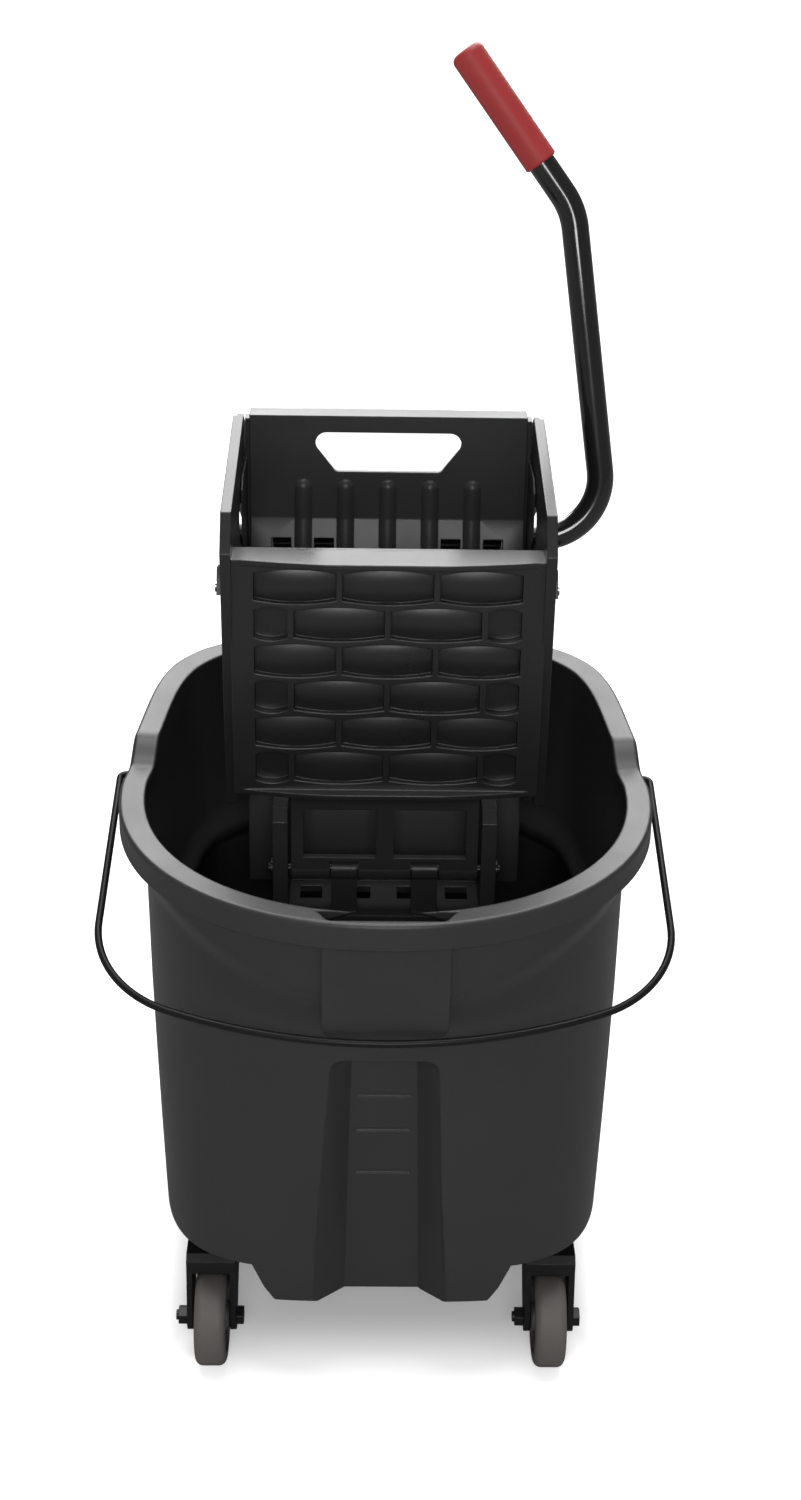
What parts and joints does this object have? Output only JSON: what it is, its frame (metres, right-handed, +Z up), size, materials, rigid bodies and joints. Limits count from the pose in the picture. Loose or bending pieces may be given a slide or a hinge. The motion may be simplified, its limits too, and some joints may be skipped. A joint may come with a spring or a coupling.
{
  "type": "mop bucket with side press wringer",
  "caption": "Dark plastic mop bucket on swivel casters with a wire bail and a hanging side press wringer, its toothed press plate worked by a bent steel lever with a red grip.",
  "frame": {"origin": "on the floor below the middle of the bounding box", "axes": "+Z up, -Y towards the pouring spout at the front, +X to the right of a person facing the spout's side"},
  "size_m": [0.4214, 0.5061, 0.9503],
  "materials": {
    "bucket_plastic": "moulded satin",
    "wringer_plastic": "moulded satin",
    "press_plastic": "moulded satin",
    "gear_plastic": "moulded satin",
    "bush_plastic": "moulded",
    "bail_wire": "black coating",
    "lever_paint": "gloss black",
    "fork_paint": "black coating",
    "dark_steel": "black oxide",
    "cup_steel": "dull zinc",
    "bright_steel": "zinc plated",
    "gear_iron": "black",
    "grip_vinyl": "matte",
    "wheel_core": "moulded",
    "tread": "matte"
  },
  "bodies": {
    "bucket": {"bucket": "bucket_plastic", "caster_stems": "cup_steel"},
    "bail": {"bail": "bail_wire"},
    "wringer": {"wringer_frame": "wringer_plastic", "panel_body": "wringer_plastic", "panel_sides": "wringer_plastic", "panel_rail": "wringer_plastic", "shaft_bushes": "bush_plastic", "hinge_pin": "dark_steel", "pin_clips": "dark_steel"},
    "press": {"press": "press_plastic", "press_face": "press_plastic", "press_frame": "wringer_plastic", "press_screws": "bright_steel", "rack_left": "gear_plastic", "rack_right": "gear_plastic", "rack_rivets": "bright_steel"},
    "lever": {"lever_tube": "lever_paint", "grip": "grip_vinyl", "cross_shaft": "dark_steel", "pinion_left": "gear_iron", "pinion_right": "gear_iron"},
    "fork_fl": {"fork_fl": "fork_paint", "axle_fl": "dark_steel", "nut_fl": "dark_steel"},
    "wheel_fl": {"wheel_fl": "wheel_core", "tyre_fl": "tread"},
    "fork_fr": {"fork_fr": "fork_paint", "axle_fr": "dark_steel", "nut_fr": "dark_steel"},
    "wheel_fr": {"wheel_fr": "wheel_core", "tyre_fr": "tread"},
    "fork_rl": {"fork_rl": "fork_paint", "axle_rl": "dark_steel", "nut_rl": "dark_steel"},
    "wheel_rl": {"wheel_rl": "wheel_core", "tyre_rl": "tread"},
    "fork_rr": {"fork_rr": "fork_paint", "axle_rr": "dark_steel", "nut_rr": "dark_steel"},
    "wheel_rr": {"wheel_rr": "wheel_core", "tyre_rr": "tread"}
  },
  "joints": [
    {"name": "wringer_lift", "type": "slide", "parent": "bucket", "child": "wringer", "axis": [0, 0, 1], "range_m": [0, 0.2]},
    {"name": "lever_pull", "type": "hinge", "parent": "wringer", "child": "lever", "pos_m": [0, 0.17763, 0.56442], "axis": [1, 0, 0], "range_deg": [0, 96]},
    {"name": "press_swing", "type": "hinge", "parent": "wringer", "child": "press", "pos_m": [0, 0.02, 0.333], "axis": [-1, 0, 0], "range_deg": [0, 16.01]},
    {"name": "bail_swing", "type": "hinge", "parent": "bucket", "child": "bail", "pos_m": [0, 0.008, 0.42], "axis": [-1, 0, 0], "range_deg": [0, 105]},
    {"name": "swivel_fl", "type": "hinge", "parent": "bucket", "child": "fork_fl", "pos_m": [-0.131, -0.146, 0.1], "axis": [0, 0, 1], "continuous": true},
    {"name": "roll_fl", "type": "hinge", "parent": "fork_fl", "child": "wheel_fl", "pos_m": [-0.131, -0.17, 0.0381], "axis": [1, 0, 0], "continuous": true},
    {"name": "swivel_fr", "type": "hinge", "parent": "bucket", "child": "fork_fr", "pos_m": [0.131, -0.146, 0.1], "axis": [0, 0, 1], "continuous": true},
    {"name": "roll_fr", "type": "hinge", "parent": "fork_fr", "child": "wheel_fr", "pos_m": [0.131, -0.17, 0.0381], "axis": [1, 0, 0], "continuous": true},
    {"name": "swivel_rl", "type": "hinge", "parent": "bucket", "child": "fork_rl", "pos_m": [-0.131, 0.15, 0.1], "axis": [0, 0, 1], "continuous": true},
    {"name": "roll_rl", "type": "hinge", "parent": "fork_rl", "child": "wheel_rl", "pos_m": [-0.131, 0.126, 0.0381], "axis": [1, 0, 0], "continuous": true},
    {"name": "swivel_rr", "type": "hinge", "parent": "bucket", "child": "fork_rr", "pos_m": [0.131, 0.15, 0.1], "axis": [0, 0, 1], "continuous": true},
    {"name": "roll_rr", "type": "hinge", "parent": "fork_rr", "child": "wheel_rr", "pos_m": [0.131, 0.126, 0.0381], "axis": [1, 0, 0], "continuous": true}
  ],
  "couplings": [
    {"joint": "press_swing", "follows": "lever_pull", "ratio": 0.16667}
  ]
}
